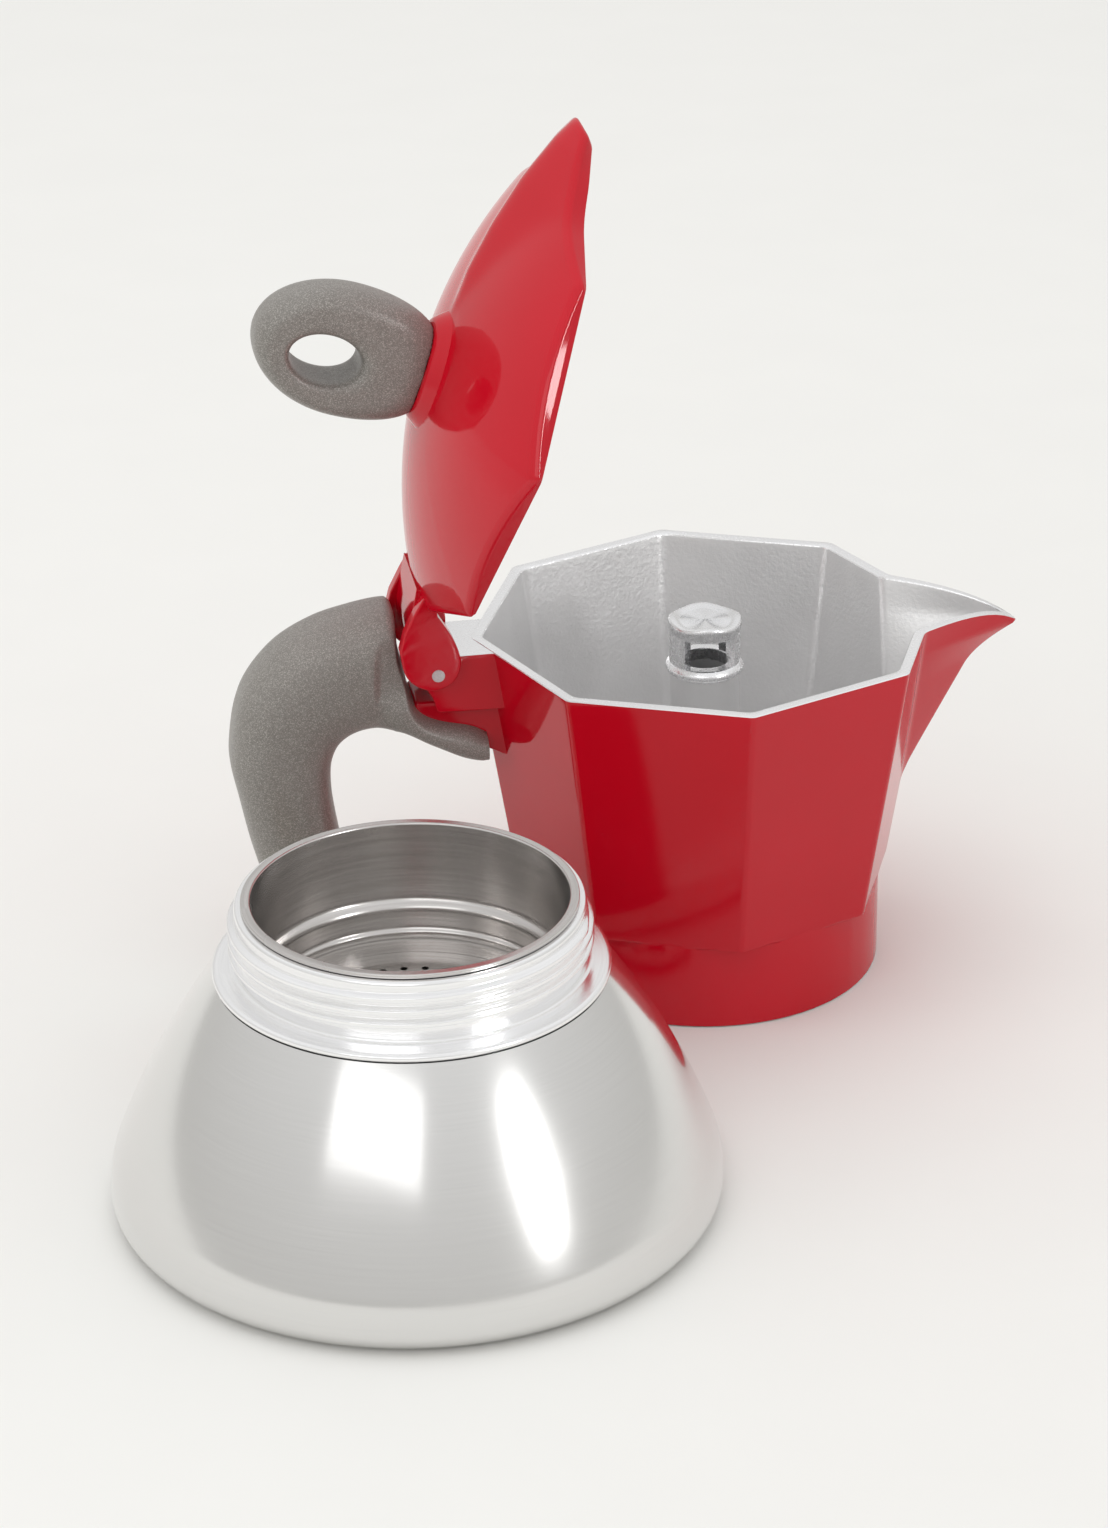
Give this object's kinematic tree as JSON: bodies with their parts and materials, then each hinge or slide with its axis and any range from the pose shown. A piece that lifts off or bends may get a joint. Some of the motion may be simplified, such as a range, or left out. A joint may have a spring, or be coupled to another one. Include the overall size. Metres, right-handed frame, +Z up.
{
  "type": "moka pot",
  "caption": "Stove-top moka pot taken apart: domed boiler with funnel beside an eight-sided jug with open hinged lid, ring knob and curved grip.",
  "frame": {"origin": "centre of the boiler's foot, on the surface it stands on", "axes": "+Z up; +X along the collector's spout; the handle points along -X"},
  "size_m": [0.1976, 0.1949, 0.1853],
  "materials": {
    "polished_steel": "polished",
    "bare_aluminium": "cast, tumbled bright",
    "funnel_steel": "spun",
    "valve_brass": "turned",
    "pin_steel": "turned",
    "fibre_washer": "pressed fibre",
    "red_enamel": "glossy enamel outside, bare cast metal inside",
    "seal_rubber": "moulded",
    "grip_plastic": "satin with metal fleck"
  },
  "bodies": {
    "boiler": {"boiler_shell": "polished_steel", "boiler_vessel": "bare_aluminium", "valve_washer": "fibre_washer", "valve_body": "valve_brass", "valve_spring": "pin_steel", "valve_cap": "valve_brass"},
    "valve_ball": {"valve_ball": "pin_steel"},
    "valve_pin": {"valve_pin": "valve_brass"},
    "funnel": {"funnel_cup": "funnel_steel", "strainer_plate": "funnel_steel", "funnel_stem": "funnel_steel"},
    "collector": {"collector_body": "red_enamel", "column_cap": "bare_aluminium", "handle": "grip_plastic", "handle_screw": "pin_steel"},
    "seal": {"gasket": "seal_rubber", "filter_plate": "bare_aluminium"},
    "lid": {"lid": "red_enamel", "hinge_pin": "pin_steel", "knob": "grip_plastic", "knob_screw": "pin_steel"}
  },
  "joints": [
    {"name": "carry_swing", "type": "hinge", "parent": "boiler", "child": "valve_ball", "pos_m": [-0.01613, 0.04432, 0.02509], "axis": [0.7679, -0.6405, 0], "range_deg": [0, 227.94]},
    {"name": "carry_level", "type": "hinge", "parent": "valve_ball", "child": "collector", "pos_m": [0.01312, 0.07938, -0.02551], "axis": [0.7679, -0.6405, 0], "range_deg": [-227.95, 0.01]},
    {"name": "lid_hinge", "type": "hinge", "parent": "collector", "child": "lid", "pos_m": [0.0161, 0.0874, 0.0726], "axis": [0, 1, 0], "range_deg": [0, 71]},
    {"name": "funnel_lift", "type": "slide", "parent": "boiler", "child": "funnel", "axis": [0, 0, -1], "range_m": [-0.06, 0]},
    {"name": "seal_release", "type": "slide", "parent": "collector", "child": "seal", "axis": [0, 0, 1], "range_m": [-0.0125, 0]},
    {"name": "valve_lift", "type": "slide", "parent": "boiler", "child": "valve_pin", "axis": [0.3047, -0.8373, -0.454], "range_m": [-0.0015, 0], "stiffness_N_per_m": 400, "springref_m": 0.004, "deforming": ["valve_spring"]}
  ],
  "couplings": [
    {"joint": "carry_level", "follows": "carry_swing", "ratio": -1}
  ]
}
